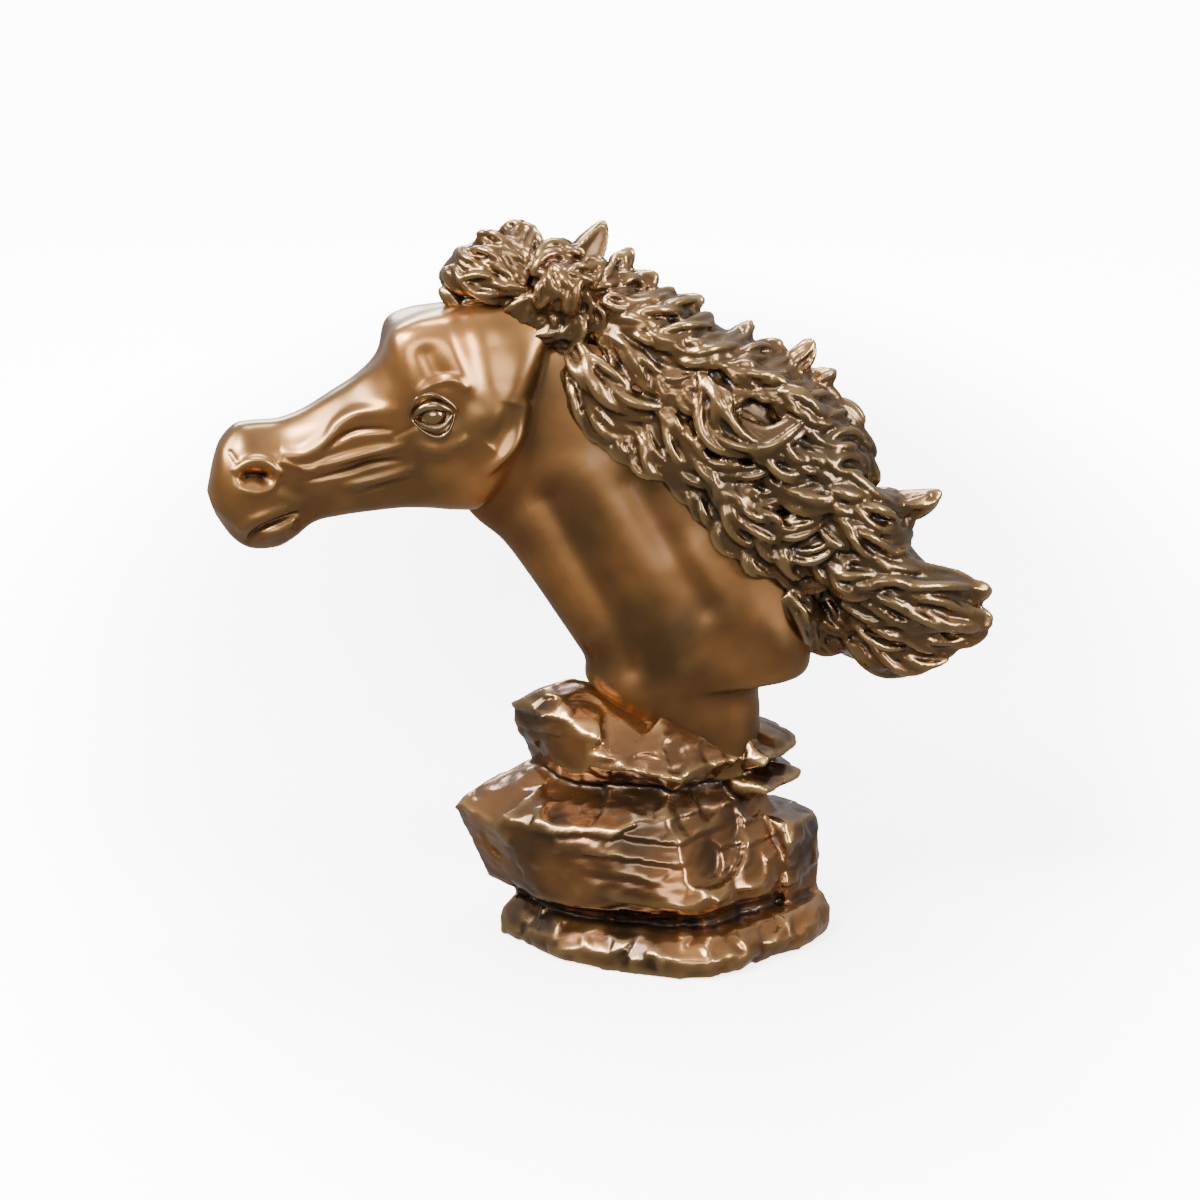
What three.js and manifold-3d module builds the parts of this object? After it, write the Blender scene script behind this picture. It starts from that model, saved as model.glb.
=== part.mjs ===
// A bronze bust of an Arabian horse with a wind-blown mane, cast in one with its stand of rock ledges.
// Millimetres, +Z up. The horse looks along -X, and its left side faces -Y.
// The origin is the middle of the stand's flat underside.
import * as THREE from "three";
import { mergeVertices } from "three/addons/utils/BufferGeometryUtils.js";
import Module from "manifold-3d";

// Driving sizes
const bustHeight = 216; // foot of the neck to the top of the forelock
const headLength = 150; // upper lip to poll
const headWidth = 48; // across the brows
const neckWidth = 50; // across the neck at the shoulder cut
const maneDepth = 40; // across the mass of the mane
const lockWidth = 15; // a long lock of the mane, at its thickest
const earLength = 36;
const earWidth = 12.5;
const eyeWidth = 11.5;
const standWidth = 132; // the foot, along X
const standDepth = 112; // the foot, along Y
const standHeight = 108; // ground to the top of the upper ledge
const grooveDepth = 6; // how far the rock is undercut between ledges
const neckSeat = 27; // how far the neck's foot lies below the top of the rock

const neckFoot = standHeight - neckSeat;
const headTilt = THREE.MathUtils.degToRad(18); // nose below the poll
const headTurn = THREE.MathUtils.degToRad(9); // towards the left side
const near = -1; // the horse's left side, towards -Y
const far = 1;

const wasm = await Module();
wasm.setup();
const { Manifold, Mesh } = wasm;

// A closed geometry as a manifold-3d solid that faces out
function solid(geometry) {
  const bare = geometry.clone();
  bare.deleteAttribute("normal");
  bare.deleteAttribute("uv");
  const merged = mergeVertices(bare, 1e-3);
  const make = (triVerts) =>
    new Manifold(new Mesh({ numProp: 3, vertProperties: merged.attributes.position.array, triVerts }));
  const triangles = new Uint32Array(merged.index.array);
  const made = make(triangles);
  return made.volume() > 0 ? made : make(triangles.slice().reverse());
}

function geometryOf(manifold) {
  const mesh = manifold.getMesh();
  return new THREE.BufferGeometry()
    .setAttribute("position", new THREE.BufferAttribute(mesh.vertProperties, 3))
    .setIndex(new THREE.BufferAttribute(mesh.triVerts, 1));
}

// A sphere whose rings are drawn out to place(ring share, turn share); its poles close the two ends
function drawnOut(sides, rings, place) {
  const geometry = new THREE.SphereGeometry(1, sides, rings + 1);
  const position = geometry.attributes.position;
  for (let ring = 0; ring <= rings + 1; ring++) {
    const along = THREE.MathUtils.clamp((ring - 1) / (rings - 1), 0, 1);
    const pole = ring === 0 || ring === rings + 1;
    const middle = new THREE.Vector3();
    for (let i = 0; pole && i < sides; i++) middle.addScaledVector(place(along, i / sides), 1 / sides);
    for (let side = 0; side <= sides; side++) {
      const point = pole ? middle : place(along, (side % sides) / sides);
      position.setXYZ(ring * (sides + 1) + side, point.x, point.y, point.z);
    }
  }
  return geometry;
}

// Rows of numbers read as smooth curves: row(share) is a row between the first (0) and the last (1)
function smoothRows(rows) {
  const last = rows.length - 1;
  return (share) => {
    const at = THREE.MathUtils.clamp(share, 0, 1) * last;
    const i = Math.min(Math.floor(at), last - 1);
    const t = at - i;
    const [a, b, c, d] = [rows[Math.max(i - 1, 0)], rows[i], rows[i + 1], rows[Math.min(i + 2, last)]];
    return b.map((_, k) => {
      const bend = 3 * (b[k] - c[k]) + d[k] - a[k];
      const lift = 2 * a[k] - 5 * b[k] + 4 * c[k] - d[k];
      return 0.5 * (2 * b[k] + (c[k] - a[k]) * t + lift * t * t + bend * t * t * t);
    });
  };
}

// A point of the bust, given in hundredths of its height from the foot of the neck
function bustPoint(x, z, y = 0) {
  return new THREE.Vector3((x * bustHeight) / 100, y, neckFoot + (z * bustHeight) / 100);
}

// The head. Each section stands square to the line from the lips to the poll, and is given in
// hundredths of the head's length: place along the line, top, bottom, then four half widths from
// the bridge of the nose down to the jaw, each with its height.
const headSections = [
  // at, top, bottom, then bridge, upper side, lower side and jaw
  [1.2, 3.6, -2, 2.4, 2.8, 3.8, 1.2, 3.8, -0.2, 2.2, -1.4],
  [3, 6.6, -8, 4.4, 5.6, 6.6, 2.4, 6.6, -1.6, 4.2, -4.8],
  [5.6, 11, -12.6, 5.8, 9.2, 8.8, 3.8, 8.6, -2.6, 5.6, -8],
  [9, 15.2, -15.2, 5.8, 13.4, 9.8, 6, 9, -3.2, 6.2, -10.6],
  [14, 17.8, -16.8, 5, 16, 9.6, 7.6, 8.6, -3.6, 5.6, -13],
  [19, 17, -15.8, 4.5, 15.4, 8.6, 7.6, 7.8, -3.2, 5, -12.6],
  [25, 15.4, -13.8, 4.4, 14, 8.2, 7, 7.6, -2.4, 4.8, -11],
  [32, 15.6, -14.6, 4.7, 14.2, 8.8, 7.4, 8.2, -2, 5, -11.4],
  [40, 17.4, -16.2, 5.2, 15.9, 10, 8.4, 9, -2, 5.6, -13],
  [48, 19.4, -18.2, 5.8, 17.8, 11.6, 9.6, 10.2, -2.5, 6.2, -14.6],
  [55, 22.4, -20.8, 8.6, 21.4, 14, 12.6, 11.6, -3.5, 7.2, -17],
  [60, 28, -23, 12.4, 27.8, 16, 14.6, 12.8, -4.6, 8.2, -19],
  [67, 29.6, -24.8, 12.8, 28.6, 16, 16, 14.8, -5.6, 10, -20.8],
  [74, 29, -22, 10.8, 27, 14.8, 15.6, 15.4, -3.6, 11, -17],
  [80, 28, -15.6, 8.6, 26, 13.6, 15.4, 15.2, 0.4, 11.4, -10.6],
  [86, 27, -7, 8, 25, 12.4, 15.4, 14, 5, 10.4, -2.6],
  [92, 26, 1, 7, 24, 11, 15.4, 11.6, 9, 8.4, 4],
  [98, 23.6, 9, 5.6, 22, 8, 17.6, 8, 14, 5, 11],
];
const poll = bustPoint(-17.6, 68.7);

// A point of the head: share of the way from the lips (0) to the poll (100), sideways and up
function headPoint(along, side, up) {
  const point = new THREE.Vector3(along - 100, side, up).multiplyScalar(headLength / 100);
  point.applyAxisAngle(new THREE.Vector3(0, 1, 0), -headTilt);
  return point.applyAxisAngle(new THREE.Vector3(0, 0, 1), headTurn).add(poll);
}

// Soft hollows and swellings of the head's skin, on both sides: place along and up, reach, and push outwards
const headModelling = [
  { name: "eye socket", along: 62.4, up: 6.2, reach: 4.4, push: -3 },
  { name: "brow ridge", along: 67, up: 12.6, reach: 5, push: 2.2 },
  { name: "temple hollow", along: 76, up: 16, reach: 5, push: -1.8 },
  { name: "cheek bone", along: 52, up: 0.4, reach: 4.4, push: 1.2 },
  { name: "hollow under the eye", along: 52, up: 8, reach: 4.4, push: -1.2 },
  { name: "nostril", along: 12.8, up: 5.4, reach: 3, push: -3 },
  { name: "nostril wing", along: 17.6, up: 7.4, reach: 2.8, push: 1.5 },
  { name: "hollow behind the nostril", along: 24, up: 2.6, reach: 4.4, push: -0.8 },
  { name: "corner of the mouth", along: 21.6, up: -7.6, reach: 3, push: -1.2 },
  { name: "jaw muscle", along: 76, up: -4, reach: 8, push: 1.2 },
];

function head() {
  const rows = smoothRows(headSections);
  const widen = headWidth / 2 / ((16 * headLength) / 100);
  const place = (share, turn) => {
    const [along, top, bottom, w1, h1, w2, h2, w3, h3, w4, h4] = rows(share);
    const side = turn < 0.5 ? near : far;
    const half = [[-w1, h1], [0, top], [w1, h1], [w2, h2], [w3, h3], [w4, h4], [0, bottom], [-w4, h4]];
    const down = (turn < 0.5 ? turn : 1 - turn) * 2;
    const at = smoothRows(half)((1 + down * 5) / 7);
    let push = 0;
    for (const spot of headModelling) {
      const away = Math.hypot(along - spot.along, at[1] - spot.up) / spot.reach;
      push += spot.push * Math.exp(-away * away);
    }
    const flank = Math.min(at[0] / (0.5 * w2), 1);
    return headPoint(along, side * (at[0] * widen + push * flank), at[1]);
  };
  return solid(drawnOut(20, 26, place));
}

function eye(side) {
  const ball = new THREE.SphereGeometry(eyeWidth / 2, 10, 6);
  ball.scale(1, 0.7, 0.9);
  ball.rotateY(-headTilt);
  const out = (headWidth / headLength) * 50 - 3;
  const at = headPoint(62.4, side * out, 6.2);
  ball.translate(at.x, at.y, at.z);
  return solid(ball);
}

// The dark line between the lips, cut in from each side
function mouthLine(side) {
  const line = smoothRows([[-1, -4.6], [4, -7.4], [10, -9.2], [16, -8.6], [21.6, -7.4]]);
  const place = (share, turn) => {
    const [along, up] = line(share);
    const open = 0.75 * (1 - 0.7 * share);
    const angle = turn * 2 * Math.PI;
    return headPoint(along, side * (8.6 + 2.4 * Math.cos(angle)), up + open * Math.sin(angle));
  };
  return solid(drawnOut(6, 7, place));
}

// The neck, by its front line, its crest line and its half width, in hundredths of the bust's height
// and, for the width, of the neck's full width
const neckSections = [
  [-38.6, 47, -22, 78, 24],
  [-34.4, 42.4, -14, 80.6, 30],
  [-29.8, 38.6, -3, 78.6, 36],
  [-24.6, 31.4, 8, 71, 42],
  [-19.6, 24, 17, 59, 47],
  [-15.6, 18, 23, 44, 50],
  [-13.2, 15, 25.8, 28, 50],
  [-12.4, 13.2, 26.8, 14.4, 49],
  [-9, 10.4, 18.4, 12, 47],
  [-4.4, 5.8, 18, 6, 44],
  [-0.4, 1, 18, 1, 40],
  [2, -6, 17.6, -6, 36],
];

function neck() {
  const rows = smoothRows(neckSections);
  const place = (share, turn) => {
    const [frontX, frontZ, backX, backZ, half] = rows(share);
    const angle = turn * 2 * Math.PI;
    const across = 0.5 - 0.5 * Math.cos(angle);
    // fuller towards the back than a plain ellipse, and a little keeled along the throat
    const fullness = Math.sign(Math.sin(angle)) * Math.abs(Math.sin(angle)) ** 0.86;
    const width = (half / 100) * neckWidth * fullness * (0.94 + 0.12 * across);
    const point = bustPoint(frontX, frontZ).lerp(bustPoint(backX, backZ), across);
    return point.setY(width);
  };
  return solid(drawnOut(12, 17, place));
}

// The mass of hair under the locks: middle line, half height across the flow, half depth in
// hundredths of the mane's depth
const maneMass = [
  [-23, 79.4, 5.4, 30],
  [-8, 76, 8, 38],
  [7, 67.4, 9.4, 48],
  [19, 55, 11, 52],
  [29, 41.4, 10.4, 46],
  [38, 31, 9, 38],
  [47, 26, 5.4, 24],
  [54, 25, 2, 8],
];
const forelockMass = [
  [-39, 84.6, 2.6, 12],
  [-34, 87, 5.6, 28],
  [-28.4, 89, 6.6, 34],
  [-21, 87.4, 4.6, 34],
  [-15, 87, 4.4, 26],
];

function massOfHair(sections) {
  const rows = smoothRows(sections);
  const place = (share, turn) => {
    const [x, z, high, deep] = rows(share);
    const [x1, z1] = rows(Math.max(share - 0.02, 0));
    const [x2, z2] = rows(Math.min(share + 0.02, 1));
    const slope = Math.atan2(z2 - z1, x2 - x1);
    const angle = turn * 2 * Math.PI;
    const rise = high * Math.cos(angle);
    const point = bustPoint(x - rise * Math.sin(slope), z + rise * Math.cos(slope));
    return point.setY((deep / 100) * maneDepth * Math.sin(angle));
  };
  return solid(drawnOut(8, 8, place));
}

// How far the flesh or the mane's mass stands out from the middle plane at a point of the side view
function sideDepth(x, z) {
  let depth = 0;
  const mass = smoothRows(maneMass);
  const neck = smoothRows(neckSections);
  for (let i = 0; i <= 24; i++) {
    const [mx, mz, high, deep] = mass(i / 24);
    const inMass = 1 - ((x - mx) ** 2 + (z - mz) ** 2) / (high * high);
    if (inMass > 0) depth = Math.max(depth, (deep / 100) * maneDepth * Math.sqrt(inMass));
    const [frontX, frontZ, backX, backZ, half] = neck(i / 24);
    const long = Math.hypot(backX - frontX, backZ - frontZ);
    const [ux, uz] = [(backX - frontX) / long, (backZ - frontZ) / long];
    const across = ((x - frontX) * ux + (z - frontZ) * uz) / long;
    const off = Math.abs((x - frontX) * uz - (z - frontZ) * ux);
    if (across <= 0 || across >= 1 || off > 5) continue;
    depth = Math.max(depth, (half / 100) * neckWidth * 2 * Math.sqrt(across * (1 - across)));
  }
  return depth;
}

// A lock of hair: a tapered, flattened strand along a wave from its root to its tip. It lies proud of the
// flesh by its lift, in hundredths of a lock's width.
function lock({ root, tip, width, sag, side, lift, blunt = 2.6, flat = 0.62 }) {
  const [rx, rz] = root;
  const [tx, tz] = tip;
  const long = Math.hypot(tx - rx, tz - rz);
  const [ux, uz] = [(tx - rx) / long, (tz - rz) / long];
  const middle = (share) => {
    const bow = -sag * long * (Math.sin(Math.PI * share) * 0.7 + 0.35 * Math.sin(2 * Math.PI * share));
    const x = rx + ux * long * share - uz * bow;
    const z = rz + uz * long * share + ux * bow;
    return { x, z };
  };
  const depths = [];
  for (let i = 0; i <= 8; i++) {
    const { x, z } = middle(i / 8);
    depths.push([sideDepth(x, z)]);
  }
  const smoothDepth = smoothRows(depths.map((d, i) => {
    const [before, after] = [depths[Math.max(i - 1, 0)], depths[Math.min(i + 1, 8)]];
    return [(before[0] + 2 * d[0] + after[0]) / 4];
  }));
  const place = (share, turn) => {
    const t = 0.02 + 0.96 * share;
    const { x, z } = middle(t);
    const a = middle(t - 0.02);
    const b = middle(t + 0.02);
    const slope = Math.atan2(b.z - a.z, b.x - a.x);
    const swell = Math.min(0.4 + 3 * t, 1) * (1 - t ** blunt) ** 0.7;
    const radius = (width / 2) * swell;
    const angle = turn * 2 * Math.PI;
    const rise = radius * Math.cos(angle);
    const point = bustPoint(x, z);
    point.x -= rise * Math.sin(slope);
    point.z += rise * Math.cos(slope);
    const proud = (lift / 100) * lockWidth * (0.4 + 0.6 * Math.sin(Math.PI * t));
    const out = side * (smoothDepth(t)[0] + proud);
    return point.setY(out + flat * radius * Math.sin(angle));
  };
  return solid(drawnOut(5, 5, place));
}

// Locks between a line of roots and a list of tips, all in hundredths of the bust's height. A tip may
// also give how broad its lock is against the others, and how blunt its end.
function lockRow({ roots, tips, side, lift, width, sag }) {
  const rootLine = smoothRows(roots);
  return tips.map(([x, z, broad = 1, blunt = 2.6], i) =>
    lock({
      root: rootLine(i / (tips.length - 1)),
      tip: [x, z],
      side: side || (i % 2 ? near : far) * 0.25,
      lift,
      width: width * broad * (i % 3 === 1 ? 0.84 : 1),
      sag: sag * (i % 2 ? 1 : 0.8),
      blunt,
    }),
  );
}

// The mane's ragged outline, from the poll round to the underside
const outlineTips = [
  [-6, 91.6], [-0.6, 87, 1.2, 4], [7, 82.6, 1.4, 5], [16, 79.6, 1.4, 3.4], [27.4, 76, 1.6, 4],
  [31.4, 70, 1.4], [34.6, 62.4, 1.4, 5], [38.8, 57, 1.5, 5], [40, 50, 1.6, 6], [51.2, 47.6, 1.4],
  [45, 39.4, 1.5, 5], [59.6, 28, 1.5, 6], [62, 21, 1.6, 6], [56.4, 18.8, 1.5, 5], [46.4, 14.4, 1.5, 6],
  [38, 15.4, 1.2],
];
const crestRoots = [[-19, 82], [-8, 78], [4, 72], [13, 63], [20, 51], [26, 41], [28, 31], [25, 24]];

// The same rows lie on both sides of the neck, the far side with fewer and broader locks
const sideRows = [
  { roots: [[-19, 84], [-6, 80], [6, 71], [16, 59], [22, 47]], lift: 7,
    tips: [[8, 78, 1.3], [20, 72, 1.3], [30, 63.4, 1.3], [35.6, 53, 1.2], [40, 43, 1.2], [51, 33, 1.4, 5]] },
  { roots: [[-20, 79], [-6, 72], [6, 62], [14, 51], [18, 39]], lift: 20,
    tips: [[7, 68, 1.2], [20, 61, 1.2], [30, 50, 1.2], [37, 39, 1.2], [48, 26, 1.3, 5], [50, 20, 1.2, 5]] },
  { roots: [[-21, 77], [-14, 69], [-3, 61], [7, 52], [14, 41]], lift: 23,
    tips: [[-2, 66, 1.1], [11, 61, 1.1], [22, 52, 1.1], [30, 39, 1.1], [39, 25, 1.2], [45, 18]] },
  { roots: [[-21.4, 73], [-17, 68], [-8, 62], [2, 54], [10, 44]], lift: 17,
    tips: [[-9, 63], [2, 58], [12, 50], [21, 39], [28, 27]] },
];

function mane() {
  const crest = { roots: crestRoots, tips: outlineTips, side: 0, lift: 13 };
  const locks = lockRow({ ...crest, width: lockWidth, sag: 0.16 });
  for (const row of sideRows) {
    locks.push(...lockRow({ ...row, side: near, width: lockWidth * 0.9, sag: 0.17 }));
    const fewer = row.tips.filter((_, i) => i % 2 === 0);
    locks.push(...lockRow({ ...row, tips: fewer, side: far, width: lockWidth * 1.3, sag: 0.14 }));
  }
  return locks;
}

// The forelock, blown up and forward between the ears, with short curls on the brow. Its tufts lie out
// from the middle plane by hundredths of the mane's depth.
const forelockRoots = [[-29, 82], [-27, 83], [-25, 84], [-24, 85]];
const forelockTips = [
  { tip: [-41.6, 87.4], side: near, out: 3, wide: 0.9 },
  { tip: [-39, 91.6], side: far, out: 3, wide: 1.4 },
  { tip: [-34.4, 95.4], side: near, out: 8, wide: 1.4 },
  { tip: [-28.6, 99], side: near, out: -5, wide: 1.1 },
  { tip: [-15.4, 93.6], side: far, out: 3, wide: 1.1 },
];
const browCurls = [[-34, 79], [-22, 78]];
const browCurlOut = 22;

function forelock() {
  const rootLine = smoothRows(forelockRoots);
  const strands = forelockTips.map(({ tip, side, out, wide }, i) =>
    tuft(rootLine(i / (forelockTips.length - 1)), tip, side, out, lockWidth * wide, 0.1),
  );
  const curl = (tip, side) => tuft([-26, 84], tip, side, browCurlOut, lockWidth * 0.7, -0.2);
  for (const tip of browCurls) strands.push(curl(tip, near), curl(tip, far));
  return strands;
}

// A free strand, moved out from the middle plane
function tuft(root, tip, side, out, width, sag) {
  const strand = lock({ root, tip, width, sag, side, lift: 0, blunt: 5, flat: 0.9 });
  return strand.translate([0, (side * out * maneDepth) / 100, 0]);
}

// An ear laid back, hollow on its outer side
const earLine = [[-22, 84], [-17.8, 88.4], [-14, 91.6], [-11.4, 94.8], [-10.6, 96.8]];
const earLineLength = 36; // the length, in mm, that the line was drawn for

function ear(side) {
  const line = smoothRows(earLine);
  const shape = (scale, shift) => drawnOut(7, 6, (share, turn) => {
    const [x, z] = line(0.04 + 0.92 * share);
    const [x1, z1] = line(Math.max(share - 0.05, 0));
    const [x2, z2] = line(Math.min(share + 0.05, 1));
    const slope = Math.atan2(z2 - z1, x2 - x1);
    const swell = Math.sin(Math.PI * (0.22 + 0.75 * share)) ** 0.8;
    const radius = (earWidth / 2) * Math.max(swell, 0.1) * scale;
    const angle = turn * 2 * Math.PI;
    const stretch = earLength / earLineLength;
    const foot = bustPoint(...earLine[0]);
    const point = bustPoint(x, z).sub(foot).multiplyScalar(stretch).add(foot);
    point.x -= radius * Math.cos(angle) * Math.sin(slope);
    point.z += radius * Math.cos(angle) * Math.cos(slope);
    return point.setY(side * (headWidth * 0.24 + shift + 0.62 * radius * Math.sin(angle)));
  });
  return solid(shape(1, 0)).subtract(solid(shape(0.62, earWidth * 0.3)));
}

// A ledge of rock: rough rings, each a corner outline stretched to its own reach.
// Levels are height, left, right, near and far reach, in hundredths of the stand's sizes. A last value
// is how steeply the level falls to the right of the neck's throat, in hundredths.
const rockCorners = [
  [0, 1], [26, 0.9], [55, 0.98], [84, 0.9], [112, 1], [140, 0.88], [163, 0.96], [180, 1],
  [201, 0.88], [228, 0.9], [256, 0.9], [284, 1.06], [310, 0.86], [334, 0.9],
];

function ledge(levels, twist) {
  const place = (share, turn) => {
    const level = levels[Math.round(share * (levels.length - 1))];
    const [height, left, right, nearby, farther, fall = 0] = level;
    const [degrees, reach] = rockCorners[Math.round(turn * rockCorners.length)];
    const angle = THREE.MathUtils.degToRad(degrees);
    const rough = reach * (1 + 0.05 * Math.sin(degrees * 1.7 + height * twist));
    const x = rough * Math.cos(angle);
    const y = rough * Math.sin(angle);
    const middleX = (right - left) / 2;
    const middleY = (farther - nearby) / 2;
    const point = new THREE.Vector3(
      ((middleX + (x * (left + right)) / 2) * standWidth) / 100,
      ((middleY + (y * (nearby + farther)) / 2) * standDepth) / 100,
      (height * standHeight) / 100,
    );
    point.z -= (fall / 100) * Math.max(point.x + 0.3 * standWidth, 0);
    return point;
  };
  return solid(drawnOut(rockCorners.length, levels.length, place));
}

function stand() {
  const undercut = (grooveDepth / standWidth) * 100;
  const foot = ledge([
    [0, 47.4, 49.4, 52, 43], [4, 50, 50.8, 54, 44], [10, 49.8, 50.4, 52, 44], [15, 45, 46.6, 46, 42],
  ], 0.4);
  const lower = ledge([
    [11, 47 - undercut, 42, 42 - undercut, 40], [19, 50 - undercut, 43, 44 - undercut, 41],
    [26, 56, 43.6, 49, 43], [37, 60.4, 39, 46, 42], [47, 64.6, 36, 43, 40], [55, 59, 32, 39, 37],
    [62, 50, 29, 33, 33], [66, 42, 28, 27, 30],
  ], 0.7);
  const upper = ledge([
    [57, 39 - undercut / 2, 34, 28 - undercut, 29], [61, 39.6, 43, 33, 31], [65.8, 40.4, 36.4, 35, 32],
    [71.4, 42, 40.6, 37, 31, 2], [78, 44, 33, 36, 29, 8], [90, 46.6, 30, 31, 24, 22],
    [96, 39, 28.6, 26, 18, 26], [101.4, 26, 26, 18, 13, 26],
  ], 1.1);
  const shoulder = ledge([
    [2, -22, 50, 13, 33], [10, -22, 49, 15, 33], [20, -20, 47.4, 16, 33], [37, -20, 47.8, 15, 30],
    [44, -18, 38, 12, 26], [47.4, -16, 29, 8, 20],
  ], 0.2);
  return [foot, lower, upper, shoulder];
}

const hair = [massOfHair(maneMass), massOfHair(forelockMass), ...mane(), ...forelock()];
const flesh = [head(), eye(near), eye(far), ear(near), ear(far), neck()];
const bust = Manifold.union([...flesh, ...hair]).subtract(Manifold.union([mouthLine(near), mouthLine(far)]));
// The outer skin alone: the pockets left sealed between overlapping locks are filled
const skins = Manifold.union([bust, ...stand()]).decompose();
const casting = skins.reduce((largest, skin) => (skin.volume() > largest.volume() ? skin : largest));

const bronze = new THREE.MeshStandardMaterial({ color: 0x5a4227, roughness: 0.36, metalness: 0.9 });
const sculpture = new THREE.Group();
const horse = new THREE.Mesh(geometryOf(casting), bronze);
horse.name = "horse_head_bust";
sculpture.add(horse);

export default sculpture;
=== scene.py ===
import math

import bpy
import numpy as np
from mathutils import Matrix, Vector


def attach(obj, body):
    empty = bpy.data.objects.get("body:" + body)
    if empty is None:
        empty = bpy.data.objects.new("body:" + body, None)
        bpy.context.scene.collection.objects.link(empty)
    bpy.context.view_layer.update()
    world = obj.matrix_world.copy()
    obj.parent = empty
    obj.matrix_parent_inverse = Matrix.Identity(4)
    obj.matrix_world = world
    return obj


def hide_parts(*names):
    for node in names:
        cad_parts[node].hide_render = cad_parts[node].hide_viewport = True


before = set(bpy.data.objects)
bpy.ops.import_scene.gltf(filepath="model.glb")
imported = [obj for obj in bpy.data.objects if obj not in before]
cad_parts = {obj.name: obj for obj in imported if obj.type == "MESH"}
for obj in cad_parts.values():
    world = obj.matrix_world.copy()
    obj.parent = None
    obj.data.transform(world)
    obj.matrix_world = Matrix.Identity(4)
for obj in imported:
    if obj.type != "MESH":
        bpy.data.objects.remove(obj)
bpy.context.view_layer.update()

# A bronze bust of a horse with a wind-blown mane, cast in one with its stand of rock ledges.
# Metres, +Z up. The horse looks along -X and its left side faces -Y. The origin is the middle of
# the stand's flat underside.

MM = 0.001

# Driving sizes, the same as the part's
BUST_HEIGHT = 216 * MM  # foot of the neck to the top of the forelock
HEAD_LENGTH = 150 * MM
HEAD_WIDTH = 48 * MM
NECK_WIDTH = 50 * MM
MANE_DEPTH = 40 * MM
STAND_WIDTH = 132 * MM
STAND_DEPTH = 112 * MM
STAND_HEIGHT = 108 * MM
NECK_FOOT = 81 * MM
HEAD_TILT = math.radians(18)
HEAD_TURN = math.radians(9)

# How finely each piece is modelled
HEAD_VOXEL = 0.66 * MM
NECK_VOXEL = 1.0 * MM
NEAR_HAIR_VOXEL = 0.87 * MM
FAR_HAIR_VOXEL = 1.1 * MM
FORELOCK_VOXEL = 0.74 * MM
ROCK_VOXEL = 0.96 * MM

# The main view: where the camera stands, and the drawing plane that the carved lines are set out on
VIEW_TARGET = Vector((-25.6 * MM, 0, 138.7 * MM))
VIEW_ELEVATION = math.radians(15)
VIEW_DISTANCE = 1333 * MM
PICTURE = 1200  # the picture's width and height, in its own units
LENS = 100
SENSOR = 36


# Curves and meshes

def smooth_rows(rows):
    """Rows of numbers read as smooth curves, by a share (or an array of shares) from 0 to 1."""
    table = np.array(rows, dtype=float)
    last = len(table) - 1

    def row(share):
        at = np.clip(np.asarray(share, dtype=float), 0, 1) * last
        i = np.minimum(at.astype(int), last - 1)
        t = (at - i)[..., None]
        a, b = table[np.maximum(i - 1, 0)], table[i]
        c, d = table[i + 1], table[np.minimum(i + 2, last)]
        bend = 3 * (b - c) + d - a
        lift = 2 * a - 5 * b + 4 * c - d
        return 0.5 * (2 * b + (c - a) * t + lift * t * t + bend * t ** 3)

    return row


def bust(x, z, y=0.0):
    """A point of the bust, in hundredths of its height from the foot of the neck."""
    x, z, y = np.broadcast_arrays(x, z, y)
    return np.stack([x * BUST_HEIGHT / 100, y, NECK_FOOT + z * BUST_HEIGHT / 100], axis=-1)


def closed_tube(rings):
    """Vertices and faces of a tube of rings (rings, sides, 3), closed by a point at each end."""
    count, sides, _ = rings.shape
    ends = [rings[0].mean(axis=0), rings[-1].mean(axis=0)]
    vertices = np.concatenate([rings.reshape(-1, 3), ends])
    ring, side = np.meshgrid(np.arange(count - 1), np.arange(sides), indexing="ij")
    after = (side + 1) % sides
    here, beyond = ring * sides, (ring + 1) * sides
    quads = np.stack([here + side, here + after, beyond + after, beyond + side], axis=-1)
    start, end = count * sides, count * sides + 1
    base = (count - 1) * sides
    caps = [(start, (i + 1) % sides, i) for i in range(sides)]
    caps += [(end, base + i, base + (i + 1) % sides) for i in range(sides)]
    return vertices, quads.reshape(-1, 4).tolist() + caps


def mesh_of(name, parts):
    """One object out of many (vertices, faces)."""
    vertices, faces, start = [], [], 0
    for points, part_faces in parts:
        vertices.append(points)
        faces.extend([tuple(v + start for v in face) for face in part_faces])
        start += len(points)
    mesh = bpy.data.meshes.new(name)
    mesh.from_pydata(np.concatenate(vertices).tolist(), [], faces)
    piece = bpy.data.objects.new(name, mesh)
    bpy.context.collection.objects.link(piece)
    work_on(piece)
    bpy.ops.object.mode_set(mode="EDIT")
    bpy.ops.mesh.select_all(action="SELECT")
    bpy.ops.mesh.normals_make_consistent(inside=False)
    bpy.ops.object.mode_set(mode="OBJECT")
    return piece


def work_on(piece):
    bpy.ops.object.select_all(action="DESELECT")
    piece.select_set(True)
    bpy.context.view_layer.objects.active = piece


def finish_with(piece, kind, **settings):
    """Adds a modifier to the piece and applies it."""
    work_on(piece)
    modifier = piece.modifiers.new(kind.lower(), kind)
    for key, value in settings.items():
        setattr(modifier, key, value)
    bpy.ops.object.modifier_apply(modifier=modifier.name)


def points_of(piece):
    points = np.empty(len(piece.data.vertices) * 3)
    piece.data.vertices.foreach_get("co", points)
    return points.reshape(-1, 3)


def normals_of(piece):
    normals = np.empty(len(piece.data.vertices) * 3)
    piece.data.vertex_normals.foreach_get("vector", normals)
    return normals.reshape(-1, 3)


def set_points(piece, points):
    piece.data.vertices.foreach_set("co", np.ascontiguousarray(points).ravel())
    piece.data.update()


# The drawing plane of the main view

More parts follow.
